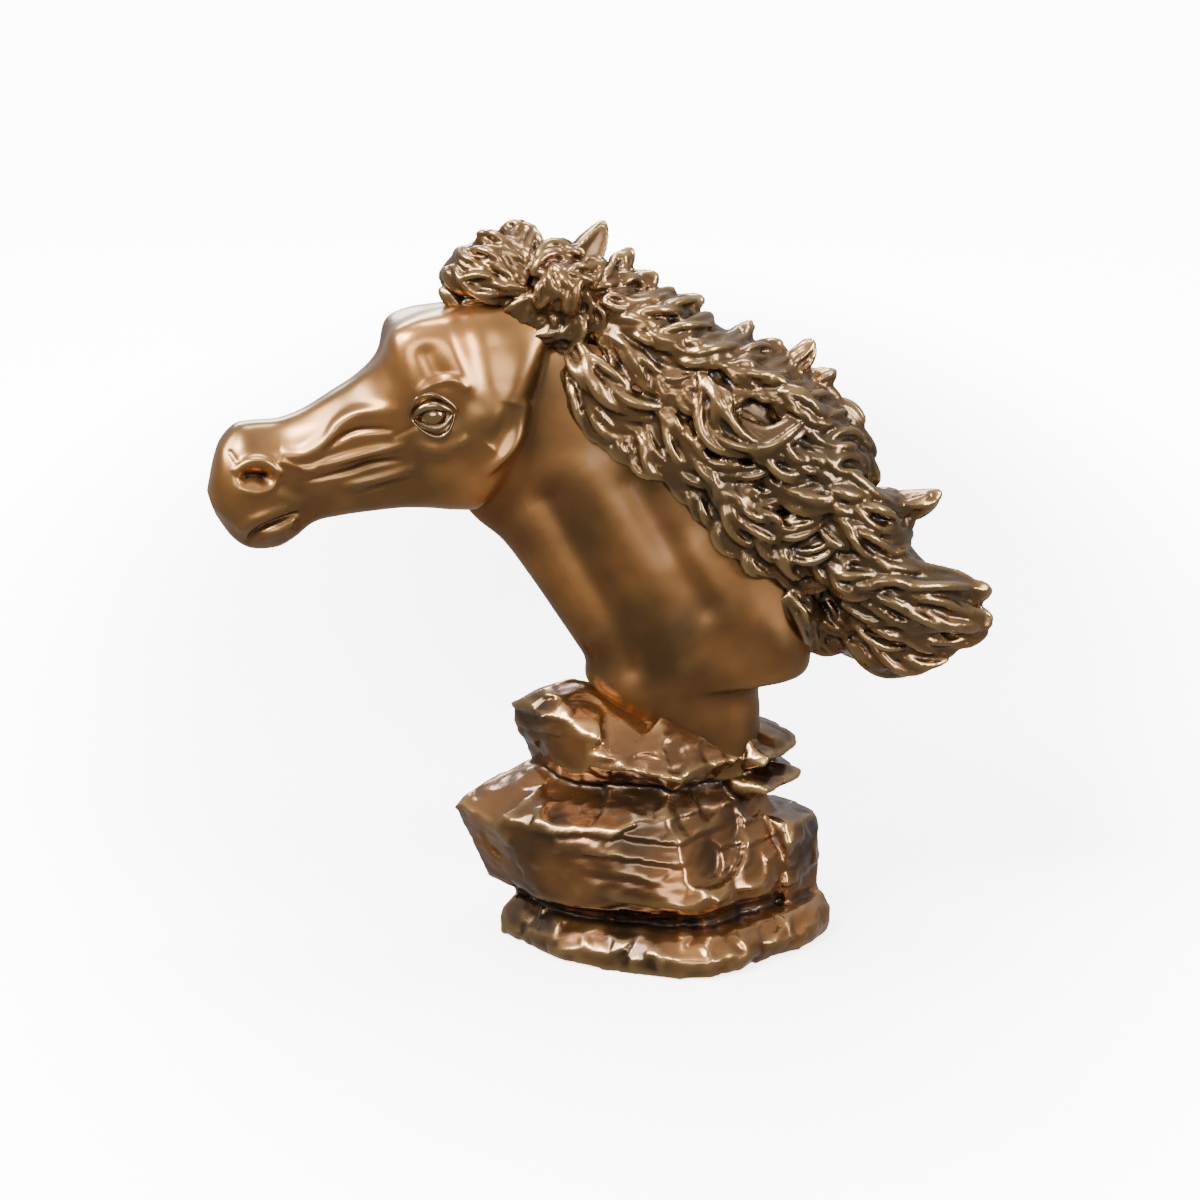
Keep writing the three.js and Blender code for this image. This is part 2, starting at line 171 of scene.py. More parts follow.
view_back = np.array([0, -math.cos(VIEW_ELEVATION), math.sin(VIEW_ELEVATION)])
view_up = np.array([0, math.sin(VIEW_ELEVATION), math.cos(VIEW_ELEVATION)])
view_eye = np.array(VIEW_TARGET) + VIEW_DISTANCE * view_back
view_focal = PICTURE * LENS / SENSOR
UNIT = VIEW_DISTANCE / view_focal / MM  # millimetres to one unit of the drawing


def drawn(points):
    """Where points show on the drawing plane, right and down from its top left corner."""
    away = points - view_eye
    depth = -away @ view_back
    right = PICTURE / 2 + view_focal * away[..., 0] / depth
    down = PICTURE / 2 - view_focal * (away @ view_up) / depth
    return np.stack([right, down], axis=-1)


def from_drawing(right, down, y):
    """The point at depth y that shows at a place of the drawing plane."""
    right, down, y = np.broadcast_arrays(np.asarray(right, float), np.asarray(down, float), y)
    ray = (-view_back + ((right - PICTURE / 2) / view_focal)[..., None] * np.array([1, 0, 0])
           - ((down - PICTURE / 2) / view_focal)[..., None] * view_up)
    reach = (y - view_eye[1]) / ray[..., 1]
    return view_eye + ray * reach[..., None]


def distance_to_line(points, line):
    """Distance of 2-D points to a polyline, and the share of the line at the nearest place."""
    line = np.array(line, dtype=float)
    best = np.full(len(points), np.inf)
    share = np.zeros(len(points))
    count = len(line) - 1
    for i in range(count):
        a, b = line[i], line[i + 1]
        along = np.clip(((points - a) @ (b - a)) / ((b - a) @ (b - a) + 1e-12), 0, 1)
        away = np.linalg.norm(points - (a + along[:, None] * (b - a)), axis=1)
        nearer = away < best
        best[nearer] = away[nearer]
        share[nearer] = (i + along[nearer]) / count
    return best, share


# The head

# Each section stands square to the line from the lips to the poll, in hundredths of the head's
# length: place, top, bottom, then half width and height of the bridge, upper side, lower side, jaw
HEAD_SECTIONS = [
    [1.2, 3.6, -3.2, 2.4, 2.8, 3.8, 1.2, 3.8, -0.2, 2.2, -1.4],
    [3, 6.6, -9.8, 4.4, 5.6, 6.6, 2.4, 6.6, -1.6, 4.2, -4.8],
    [5.6, 11, -13.8, 5.8, 9.2, 8.8, 3.8, 8.6, -2.6, 5.6, -8],
    [9, 15.2, -15.8, 5.8, 13.4, 9.8, 6, 9, -3.2, 6.2, -10.6],
    [14, 17.8, -16.8, 5, 16, 9.6, 7.6, 8.6, -3.6, 5.6, -13],
    [19, 17, -15.8, 4.5, 15.4, 8.6, 7.6, 7.8, -3.2, 5, -12.6],
    [25, 15.4, -13.8, 4.4, 14, 8.2, 7, 7.6, -2.4, 4.8, -11],
    [32, 15.6, -14.6, 4.7, 14.2, 8.8, 7.4, 8.2, -2, 5, -11.4],
    [40, 17.4, -16.2, 5.2, 15.9, 10, 8.4, 9, -2, 5.6, -13],
    [48, 19.4, -18.2, 5.8, 17.8, 11.6, 9.6, 10.2, -2.5, 6.2, -14.6],
    [55, 22.4, -20.8, 8.6, 21.4, 14, 12.6, 11.6, -3.5, 7.2, -17],
    [60, 28, -23, 12.4, 27.8, 16, 14.6, 12.8, -4.6, 8.2, -19],
    [67, 29.6, -24.8, 12.8, 28.6, 16, 16, 14.8, -5.6, 10, -20.8],
    [74, 29, -22, 10.8, 27, 14.8, 15.6, 15.4, -3.6, 11, -17],
    [80, 28, -15.6, 8.6, 26, 13.6, 15.4, 15.2, 0.4, 11.4, -10.6],
    [86, 27, -7, 8, 25, 12.4, 15.4, 14, 5, 10.4, -2.6],
    [92, 26, 1, 7, 24, 11, 15.4, 11.6, 9, 8.4, 4],
    [98, 23.6, 9, 5.6, 22, 8, 17.6, 8, 14, 5, 11],
]
POLL = bust(-17.6, 68.7)


def turned(points, axis, angle):
    c, s = math.cos(angle), math.sin(angle)
    x, y, z = points[..., 0], points[..., 1], points[..., 2]
    if axis == "Y":
        return np.stack([c * x + s * z, y, -s * x + c * z], axis=-1)
    return np.stack([c * x - s * y, s * x + c * y, z], axis=-1)


def head_point(along, side, up):
    """A point of the head from its place along it, sideways and up, in hundredths of its length."""
    along, side, up = np.broadcast_arrays(np.asarray(along, float), side, up)
    local = np.stack([along - 100, side, up], axis=-1) * HEAD_LENGTH / 100
    return turned(turned(local, "Y", -HEAD_TILT), "Z", HEAD_TURN) + POLL


def head_place(points):
    """The other way: place along the head, sideways and up, in hundredths of its length."""
    local = turned(turned(points - POLL, "Z", -HEAD_TURN), "Y", HEAD_TILT) * 100 / HEAD_LENGTH
    return local[..., 0] + 100, local[..., 1], local[..., 2]


def skull():
    rows = smooth_rows(HEAD_SECTIONS)
    sides, rings = 96, 150
    widest = 16  # the largest half width in the table
    widen = HEAD_WIDTH / 2 / (widest * HEAD_LENGTH / 100)
    turn = np.arange(sides) / sides
    down = np.where(turn < 0.5, turn, 1 - turn) * 2
    side = np.where(turn < 0.5, -1, 1)
    tube = np.empty((rings, sides, 3))
    for ring in range(rings):
        along, top, bottom, w1, h1, w2, h2, w3, h3, w4, h4 = rows(ring / (rings - 1))
        # from the top (the second point) down one side to the bottom (the last but one)
        half = smooth_rows([
            [-w1, h1], [0, top], [w1, h1], [w2, h2], [w3, h3], [w4, h4], [0, bottom], [-w4, h4],
        ])
        at = half((1 + down * 5) / 7)
        tube[ring] = head_point(along, side * at[:, 0] * widen, at[:, 1])
    return closed_tube(tube)


# The eye, by its place on the head in hundredths of the head's length, and its ball's radius
EYE_ALONG, EYE_UP, EYE_OUT = 62.6, 5.6, 12.7
EYE_RADIUS = 5.9 * MM
# Its lids and the folds over and under them: rise, half length, thickness in millimetres, and how
# far out they lie
EYE_LIDS = [
    (3.2, 5.1, 1.5, 16.1),
    (6.2, 6.4, 1.1, 15.6),
    (-3.0, 4.7, 1.1, 15.7),
    (-5.6, 5.4, 0.7, 15.1),
]


def ball(centre, radius, squash):
    sides, rings = 40, 28
    polar = np.linspace(0.06, math.pi - 0.06, rings)
    turn = np.arange(sides) * 2 * math.pi / sides
    tube = np.stack([np.sin(polar)[:, None] * np.cos(turn), np.sin(polar)[:, None] * np.sin(turn),
                     np.repeat(np.cos(polar)[:, None], sides, axis=1)], axis=-1)
    return closed_tube(tube * radius * np.array(squash) + centre)


def strand(middle, radius, out, flat=1.0, sides=8):
    """A tube along a line of points, with a radius at each, flattened in the direction out."""
    middle = np.asarray(middle, float)
    ahead = np.gradient(middle, axis=0)
    ahead /= np.linalg.norm(ahead, axis=1, keepdims=True) + 1e-12
    outward = np.broadcast_to(np.array(out, float), middle.shape)
    across = np.cross(ahead, outward)
    across /= np.linalg.norm(across, axis=1, keepdims=True) + 1e-12
    rise = np.cross(across, ahead)
    turn = np.arange(sides) * 2 * math.pi / sides
    radius = np.broadcast_to(radius, len(middle))[:, None, None]
    tube = (middle[:, None] + radius * (across[:, None] * np.cos(turn)[None, :, None]
            + flat * rise[:, None] * np.sin(turn)[None, :, None]))
    return closed_tube(tube)


def eyes():
    """The balls and the lids that wrap them, both sides."""
    parts = []
    share = np.linspace(0, 1, 40)
    swell = np.sin(math.pi * share) ** 0.7
    along = 2 * share - 1
    for side in (-1, 1):
        centre = head_point(EYE_ALONG, side * EYE_OUT, EYE_UP)
        parts.append(ball(centre, EYE_RADIUS, (1, 0.86, 0.9)))
        for rise, half_length, thick, out in EYE_LIDS:
            # each lid slopes along the head and wraps round the ball
            level = EYE_UP + rise * swell - 0.8 * along
            bulge = out + 0.6 * along - 0.7 * along ** 2
            line = head_point(EYE_ALONG + half_length * along, side * bulge, level)
            parts.append(strand(line, (0.25 + swell * thick) * MM, out=(0, side, 0), sides=16))
    return parts


# The neck: front line and crest line in hundredths of the bust's height, and half width in
# hundredths of the neck's width
NECK_SECTIONS = [
    [-38.6, 47, -22, 78, 24],
    [-34.4, 42.2, -14, 80.6, 30],
    [-29.8, 38.4, -3, 78.6, 36],
    [-24.6, 31.4, 8, 71, 42],
    [-19.6, 24, 17, 59, 47],
    [-15.6, 18, 23, 44, 50],
    [-14.6, 15.4, 25.8, 28, 50],
    [-14.6, 12.4, 26.8, 14.4, 49],
    [-12.4, 9.4, 18.4, 12, 47],
    [-8.4, 5, 18, 6, 44],
    [-4, 0, 18, 1, 40],
    [2, -6, 17.6, -6, 36],
]


def neck():
    rows = smooth_rows(NECK_SECTIONS)
    sides, rings = 80, 120
    angle = np.arange(sides) * 2 * math.pi / sides
    across = (0.5 - 0.5 * np.cos(angle))[None]
    front_x, front_z, back_x, back_z, half = rows(np.linspace(0, 1, rings)).T[..., None]
    # fuller than round, and fuller towards the crest
    full = np.sign(np.sin(angle)) * np.abs(np.sin(angle)) ** 0.76
    width = half / 100 * NECK_WIDTH * full * (0.94 + 0.12 * across)
    x = front_x + (back_x - front_x) * across
    z = front_z + (back_z - front_z) * across
    return closed_tube(bust(x, z, width))


# The ears, laid back: middle line in hundredths of the bust's height
EAR_LINE = [[-19, 84], [-16.6, 88], [-14, 91.6], [-12.2, 94.4], [-11, 97]]
EAR_WIDTH = 11.5 * MM


def ear(side):
    line = smooth_rows(EAR_LINE)
    share = np.linspace(0, 1, 40)
    middle = bust(*line(share).T)
    middle[:, 1] = side * HEAD_WIDTH * (0.24 - 0.1 * share ** 2)
    ahead = np.gradient(middle, axis=0)
    ahead /= np.linalg.norm(ahead, axis=1, keepdims=True)
    across = np.cross(ahead, (0, side, 0))
    across /= np.linalg.norm(across, axis=1, keepdims=True)
    half = EAR_WIDTH / 2 * np.clip(np.sin(math.pi * (0.24 + 0.76 * share)), 0, 1) ** 0.7 + 0.5 * MM
    sides = 32
    turn = np.arange(sides) * 2 * math.pi / sides
    # a cupped leaf: its back is round, and its outer side is hollow between two rolled edges
    wide = np.cos(turn)
    up = np.sin(turn)
    deep = np.where(up > 0, 0.42 * np.abs(wide) ** 3 * np.maximum(up, 0) ** 0.5, 0.62 * up)
    tube = (middle[:, None] + half[:, None, None] * (across[:, None] * wide[None, :, None]
            + np.array([0, side, 0]) * deep[None, :, None]))
    return closed_tube(tube)


# Carved lines and soft forms of the head, drawn on the main view and repeated on the other side:
# line, half width and height in millimetres
HEAD_CARVING = {
    "facial crest": (
        [(280, 455), (304, 455), (326, 442), (340, 424), (360, 413), (400, 410)], 2.9, 2.4),
    "groove under the crest": ([(322, 452), (340, 438), (360, 430), (398, 430)], 1.3, -1.7),
    "cheek vein": ([(300, 470), (334, 462), (370, 452), (408, 445)], 1.9, 1.9),
    "groove under the vein": ([(300, 482), (346, 472), (372, 464), (404, 459)], 1.2, -1.4),
    "lower vein": ([(338, 488), (380, 478), (418, 466)], 1.8, 1.5),
    "groove under the lower vein": ([(352, 494), (384, 486), (414, 476)], 1.1, -0.7),
    "vein to the nostril": ([(276, 460), (300, 468), (320, 470)], 1.2, 0.9),
    "temple ridge": ([(446, 326), (455, 354), (466, 384)], 5.0, 1.3),
    "hollow behind the temple": ([(486, 350), (494, 384)], 7.5, -1.4),
    "hollow over the eye": ([(428, 356), (438, 376)], 4.4, -1.4),
    "eye socket": ([(424, 418), (436, 413), (448, 415)], 4.8, -2.8),
    "brow fold": ([(416, 396), (432, 384), (452, 380), (468, 390)], 1.8, 1.4),
    "tear line": ([(419, 424), (406, 431), (392, 437)], 1.3, -0.9),
    "cheek bone": ([(412, 444), (440, 450), (470, 438)], 2.4, 1.4),
    "hollow under the cheek bone": ([(416, 462), (440, 464), (466, 456)], 3.4, -1.0),
    "edge of the jaw": ([(530, 400), (521, 428), (506, 452), (484, 474)], 2.1, 2.6),
    "hollow before it": ([(512, 404), (504, 428), (490, 446)], 3.4, -1.3),
    "jaw muscle": ([(480, 420), (484, 446)], 9.0, 1.2),
    "nostril rim over": ([(234, 474), (248, 462), (266, 462), (282, 476)], 1.6, 2.2),
    "nostril rim under": ([(240, 489), (256, 493), (272, 487), (278, 477)], 1.5, 0.9),
    "nostril": ([(246, 477), (256, 476), (265, 478)], 2.5, -4.6),
    "hollow behind the nostril": ([(286, 486), (300, 492)], 4.0, -1.2),
    "mouth": ([(246, 543), (254, 534), (268, 526), (286, 518), (302, 513)], 1.1, -3.2),
    "upper lip": ([(236, 530), (250, 522), (268, 515), (288, 508)], 2.2, 1.1),
    "lower lip": ([(264, 539), (278, 532), (296, 524)], 2.0, 1.1),
    "chin groove": ([(300, 524), (308, 512)], 2.4, -0.9),
    "muzzle wrinkle": ([(230, 452), (237, 462)], 1.0, -0.6),
}
# The same for the neck
NECK_CARVING = {
    "windpipe": ([(522, 520), (552, 572), (588, 634)], 7.0, 1.4),
    "jugular groove": ([(548, 500), (578, 556), (614, 622), (630, 668)], 6.0, -2.4),
    "long neck muscle": ([(586, 476), (622, 540), (660, 606), (684, 662)], 10.0, 2.0),
    "groove behind it": ([(634, 484), (670, 548), (706, 606)], 6.0, -1.8),
    "shoulder muscle": ([(690, 560), (740, 610), (780, 640)], 10.0, 1.6),
}


def relief(places, carving):
    """How far the drawn strokes raise or lower each place.

    Long narrow strokes thin out towards their ends."""
    push = np.zeros(len(places))
    for line, half_width, height in carving.values():
        stroke = smooth_rows(line)(np.linspace(0, 1, 6 * len(line)))
        away, share = distance_to_line(places, stroke)
        long = np.linalg.norm(np.diff(stroke, axis=0), axis=1).sum() * UNIT
        narrow = long > 5 * half_width and half_width < 5
        thinning = np.sin(math.pi * share) ** 0.6 if narrow else 1
        push += height * MM * np.exp(-(away * UNIT / half_width) ** 2) * thinning
    return push


def carve_head(piece):
    points, normals = points_of(piece), normals_of(piece)
    along, side, up = head_place(points)
    places = drawn(head_point(along, -np.abs(side), up))
    flank = np.clip(np.abs(side) / 2.5, 0, 1) * (along < 100)
    set_points(piece, points + normals * (relief(places, HEAD_CARVING) * flank)[:, None])


def carve_neck(piece):
    points, normals = points_of(piece), normals_of(piece)
    places = drawn(np.where(points[:, 1:2] < 0, points, points * [1, -1, 1]))
    flank = np.clip(np.abs(points[:, 1]) / (8 * MM), 0, 1)
    set_points(piece, points + normals * (relief(places, NECK_CARVING) * flank)[:, None])


# The mass of hair under the locks: middle line and half height across the flow in hundredths of the
# bust's height, half depth in hundredths of the mane's depth
MANE_MASS = [
    [-23, 80, 5.4, 26],
    [-8, 77.4, 8.4, 36],
    [7, 68.6, 9.6, 46],
    [19, 57, 12, 50],
    [29, 43, 11, 46],
    [38, 32, 9.6, 38],
    [47, 27, 6.4, 26],
    [55, 24.6, 3, 12],
]
FORELOCK_MASS = [
    [-40, 85.2, 2.8, 12],
    [-35, 87.2, 5.6, 26],
    [-28.4, 88.4, 6.2, 30],
    [-21, 86.4, 5.6, 36],
    [-14, 86, 5.2, 32],
]


def mass_of_hair(sections):
    rows = smooth_rows(sections)
    sides, rings = 40, 60
    x, z, high, deep = rows(np.linspace(0, 1, rings)).T
    slope = np.arctan2(np.gradient(z), np.gradient(x))[:, None]
    angle = np.arange(sides) * 2 * math.pi / sides
    rise = high[:, None] * np.cos(angle)
    return closed_tube(bust(x[:, None] - rise * np.sin(slope), z[:, None] + rise * np.cos(slope),
                            deep[:, None] / 100 * MANE_DEPTH * np.sin(angle)))


class SideDepth:
    """How far the neck or the mass of hair stands out from the middle plane, over the side view.

    It is worked out on a grid, in hundredths of the bust's height."""

    step = 0.5
    low = (-60.0, -20.0)
    high = (80, 115)
    row_reach = 2.5  # enough to leave no gap between two sections of the neck

    def __init__(self):
        xs = np.arange(self.low[0], self.high[0], self.step)
        zs = np.arange(self.low[1], self.high[1], self.step)
        x, z = np.meshgrid(xs, zs, indexing="ij")
        depth = np.zeros_like(x)
        share = np.linspace(0, 1, 90)
        for sections in (MANE_MASS, FORELOCK_MASS):
            for mx, mz, high, deep in smooth_rows(sections)(share):
                inside = np.clip(1 - ((x - mx) ** 2 + (z - mz) ** 2) / (high * high), 0, 1)
                depth = np.maximum(depth, deep / 100 * MANE_DEPTH * np.sqrt(inside))
        for fx, fz, bx, bz, half in smooth_rows(NECK_SECTIONS)(share):
            long = math.hypot(bx - fx, bz - fz)
            ux, uz = (bx - fx) / long, (bz - fz) / long
            across = ((x - fx) * ux + (z - fz) * uz) / long
            off = np.abs((x - fx) * uz - (z - fz) * ux)
            inside = (off < self.row_reach) & (across > 0) & (across < 1)
            out = half / 100 * NECK_WIDTH * 2 * np.sqrt(np.clip(across * (1 - across), 0, 1))
            depth = np.where(inside, np.maximum(depth, out), depth)
        # softened, so that a lock that runs off the hair onto the neck bends down smoothly
        for _ in range(6):
            wide = np.pad(depth, 1, mode="edge")
            depth = (wide[2:, 1:-1] + wide[:-2, 1:-1] + wide[1:-1, 2:] + wide[1:-1, :-2]
                     + 2 * depth) / 6
        self.depth = depth

    def __call__(self, points):
        x = points[..., 0] * 100 / BUST_HEIGHT
        z = (points[..., 2] - NECK_FOOT) * 100 / BUST_HEIGHT
        i = np.clip((x - self.low[0]) / self.step, 0, self.depth.shape[0] - 2)
        j = np.clip((z - self.low[1]) / self.step, 0, self.depth.shape[1] - 2)
        a, b = i.astype(int), j.astype(int)
        s, t = i - a, j - b
        d = self.depth
        return ((1 - s) * (1 - t) * d[a, b] + s * (1 - t) * d[a + 1, b]
                + (1 - s) * t * d[a, b + 1] + s * t * d[a + 1, b + 1])


side_depth = SideDepth()


def on_the_side(line, lift, side):
    """A drawn line laid on the near side, lift millimetres proud, or its mirror on the far side."""
    line = np.array(line, float)
    y = np.full(len(line), -15 * MM)
    # the depth settles within a few rounds
    for _ in range(5):
        points = from_drawing(line[:, 0], line[:, 1], y)
        y = -(side_depth(points) + lift * MM)
    points = from_drawing(line[:, 0], line[:, 1], y)
    if side > 0:
        points[:, 1] *= -1
        # seen from above, the far side shows higher: it is set a little lower to keep the outline
        points[:, 2] -= np.clip(2 * math.tan(VIEW_ELEVATION) * points[:, 1], 0, 5 * MM)
    return points


LOCK_DEPTH = 0.6  # how deep a lock is, as a share of its width
LOCK_CORE = 0.40  # half width of the core that the strands lie on, as a share of the lock's width
THINNEST_CORE, THINNEST_STRAND = 0.2, 0.16  # radius at the tip, in millimetres


def lock(line, width, side, lift, strands, twist, blunt, seed):
    """A wavy lock of hair: strands that run side by side along a drawn line and meet at its tip."""
    chance = np.random.default_rng(seed)
    share = np.linspace(0, 1, 30)
    guide = smooth_rows(line)(share)
    lifts = lift * (0.35 + 0.65 * np.sin(math.pi * np.clip(share * 0.9 + 0.05, 0, 1)))
    middle = on_the_side(guide, lifts, side)
    ahead = np.gradient(middle, axis=0)
    ahead /= np.linalg.norm(ahead, axis=1, keepdims=True) + 1e-12
    across = np.cross(ahead, (0, side, 0))
    across /= np.linalg.norm(across, axis=1, keepdims=True) + 1e-12
    outward = np.cross(across, ahead)
    width *= MM
    taper = np.minimum(0.45 + 2.6 * share, 1) * (1 - share ** blunt) ** 0.75
    out = (0, side, 0)
    parts = [strand(middle, width * LOCK_CORE * taper + THINNEST_CORE * MM, out, flat=LOCK_DEPTH)]
    for i in range(strands):
        # where the strand lies across the lock, from -1 to 1, and how it winds, sways and heaves
        place = 2 * (i + 0.5) / strands - 1 + chance.uniform(-0.12, 0.12)
        phase = math.asin(max(-1, min(1, place))) + twist * 2 * math.pi * (share - 0.4)
        waves, start = chance.uniform(0.9, 1.7), chance.uniform(0, 1)
        sway = 0.17 * np.sin(2 * math.pi * (share * waves + start))
        waves, start = chance.uniform(1.0, 2.0), chance.uniform(0, 1)
        heave = 0.22 * np.sin(2 * math.pi * (share * waves + start))
        sideways = np.sin(phase) * 0.46 + sway
        proud = LOCK_DEPTH * (0.18 + 0.34 * np.cos(phase) + heave)
        spread = taper * (1 - 0.25 * share)
        offset = (across * (sideways * spread * width)[:, None]
                  + outward * (proud * spread * width)[:, None])
        path = middle + offset
        end = chance.uniform(0.86, 1.0)
        own = np.clip(share / end, 0, 1)
        thickness = width / strands * chance.uniform(0.62, 0.85)
        radius = thickness * np.minimum(0.5 + 2 * share, 1) * (1 - own ** 4) ** 0.6
        keep = share <= end
        parts.append(strand(path[keep], radius[keep] + THINNEST_STRAND * MM, out))
    return parts


# Locks of the mane and forelock, drawn on the main view from root to tip:
# line, width in millimetres, lift over the flesh in millimetres, and how blunt the tip is
MANE_LOCKS = [
    # over the poll and down the crest, tips flicking up
    ([(590, 290), (610, 274), (622, 258), (630, 250)], 10, 1, 4),
    ([(596, 300), (620, 290), (644, 280), (660, 276)], 11, 1, 5),
    ([(598, 312), (626, 308), (656, 300), (676, 288)], 12, 3, 5),
    ([(606, 324), (640, 324), (672, 310), (702, 302)], 14, 2, 6),
    ([(622, 338), (656, 342), (690, 330), (714, 314)], 14, 3, 6),
    ([(640, 350), (676, 352), (706, 344), (728, 336)], 12, 3, 5),
    ([(664, 352), (700, 362), (730, 346), (752, 322)], 15, 2, 4),
    ([(690, 362), (730, 366), (760, 352), (784, 342)], 14, 2, 5),
    ([(712, 374), (752, 384), (788, 366), (816, 340)], 15, 2, 4),
    ([(740, 384), (778, 392), (810, 382), (838, 370)], 13, 1, 4),
    ([(758, 392), (792, 402), (820, 394), (842, 406)], 14, 2, 6),
    ([(770, 408), (806, 424), (838, 412), (864, 430)], 15, 2, 6),
    ([(782, 430), (818, 448), (850, 436), (876, 458)], 15, 2, 6),
    ([(792, 454), (828, 472), (858, 462), (878, 486)], 15, 2, 6),
    ([(770, 396), (806, 412), (834, 424), (856, 452)], 14, 5, 6),
    # the long horn and the wind-blown end
    ([(806, 486), (850, 498), (898, 504), (944, 492)], 17, 2, 4),
    ([(814, 500), (856, 518), (888, 522), (916, 512)], 16, 3, 5),
    ([(812, 522), (850, 540), (886, 544), (914, 532)], 15, 4, 5),
    ([(806, 548), (838, 580), (872, 574), (916, 556)], 15, 5, 4),
    ([(830, 562), (876, 564), (926, 574), (978, 584)], 13, 3, 6),
    ([(798, 556), (806, 600), (842, 620), (880, 610)], 13, 6, 4),
    ([(846, 584), (892, 584), (940, 590), (992, 588)], 16, 3, 6),
    ([(842, 600), (890, 608), (946, 612), (994, 624)], 16, 3, 6),
    ([(840, 612), (888, 626), (940, 634), (990, 632)], 15, 3, 6),
    ([(836, 618), (872, 642), (916, 654), (960, 642)], 16, 3, 6),
    ([(826, 622), (856, 642), (896, 658), (930, 654)], 15, 2, 6),
    ([(782, 596), (800, 622), (824, 636), (856, 644)], 14, 3, 6),
    # the broad waves over the side of the neck
    ([(572, 350), (596, 378), (630, 404), (684, 402)], 17, 6, 4),
    ([(564, 368), (588, 404), (622, 428), (672, 428)], 13, 3, 4),
    ([(600, 336), (634, 366), (668, 378), (708, 366)], 15, 5, 4),
    ([(650, 366), (682, 398), (718, 402), (756, 382)], 15, 4, 4),
    ([(694, 378), (718, 420), (766, 440), (812, 410)], 17, 8, 4),
    ([(640, 404), (674, 442), (718, 450), (758, 430)], 15, 4, 4),
    ([(664, 430), (698, 466), (744, 474), (792, 448)], 15, 6, 4),
    ([(736, 418), (770, 456), (806, 462), (842, 440)], 15, 5, 4),
    ([(690, 456), (722, 492), (764, 496), (810, 470)], 15, 6, 4),
    ([(752, 464), (784, 496), (820, 498), (850, 476)], 14, 5, 4),
    ([(714, 486), (746, 522), (790, 528), (834, 500)], 16, 7, 4),
    ([(742, 514), (772, 548), (812, 548), (850, 524)], 14, 6, 4),
    ([(760, 536), (784, 570), (820, 574), (858, 550)], 13, 5, 4),
    # short ends lying on the neck
    ([(570, 390), (580, 416), (600, 436), (620, 438)], 8, 2, 3),
    ([(596, 412), (610, 438), (634, 458), (656, 452)], 9, 2, 3),
    ([(626, 428), (642, 460), (666, 472), (692, 462)], 10, 2, 3),
    ([(658, 454), (674, 482), (698, 494), (724, 482)], 10, 2, 3),
    ([(686, 476), (698, 508), (722, 520), (748, 508)], 10, 2, 3),
    ([(710, 504), (722, 534), (744, 546), (770, 534)], 10, 2, 3),
    ([(736, 528), (748, 560), (772, 570), (798, 558)], 10, 2, 3),
]
FORELOCK_LOCKS = [
    ([(520, 296), (492, 304), (462, 306), (438, 288)], 11, 2, 5),
    ([(528, 288), (496, 284), (462, 284), (443, 268)], 12, 3, 6),
    ([(530, 278), (500, 264), (470, 262), (453, 252)], 12, 2, 6),
    ([(534, 270), (508, 250), (490, 246), (474, 242)], 12, 1, 6),
    ([(538, 266), (522, 246), (514, 236), (499, 228)], 12, -1, 6),
    ([(538, 272), (534, 252), (524, 236), (512, 222)], 11, 1, 5),
    ([(534, 292), (508, 306), (484, 316), (460, 308)], 12, 5, 5),
    ([(540, 300), (518, 320), (492, 330), (472, 320)], 11, 4, 5),
    ([(546, 304), (534, 326), (510, 338), (490, 332)], 10, 3, 5),
    ([(556, 306), (558, 326), (544, 340), (522, 342)], 11, 3, 5),
    ([(566, 300), (580, 318), (576, 340), (554, 350)], 11, 3, 5),
    ([(560, 288), (584, 298), (604, 318), (598, 344)], 11, 2, 5),
    ([(536, 276), (556, 260), (574, 256), (590, 246)], 13, 4, 5),
    ([(552, 288), (574, 278), (592, 270), (600, 258)], 12, 5, 5),
    ([(546, 270), (552, 286), (548, 304), (530, 316)], 12, 6, 5),
    ([(556, 274), (566, 288), (572, 306), (566, 326)], 12, 6, 5),
]


def locks(lines, side):
    """The drawn locks on one side. The far side, hidden in the main view, has its own waves."""
    parts = []
    for i, (line, width, lift, blunt) in enumerate(lines):
        twist = 0.3 + 0.15 * (i % 3)
        if side > 0:
            line = [(x + 4 * math.sin(i * 1.7 + k), y + 4 * math.cos(i * 2.3 + k))
                    for k, (x, y) in enumerate(line)]
            twist = -0.4
        seed = i + 50 * (side + 1)
        parts += lock(line, width, side, lift, 5 + i % 3, twist, blunt, seed)
    return parts


# The stand. Its corners seen from above: angle in degrees, and reach as a share of the ledge's own
ROCK_CORNERS = [
    [0, 1], [26, 0.9], [55, 0.98], [84, 0.9], [112, 1], [140, 0.88], [163, 0.96], [180, 1],
    [201, 0.88], [228, 0.9], [256, 0.9], [284, 1.06], [310, 0.86], [334, 0.9], [360, 1],
]
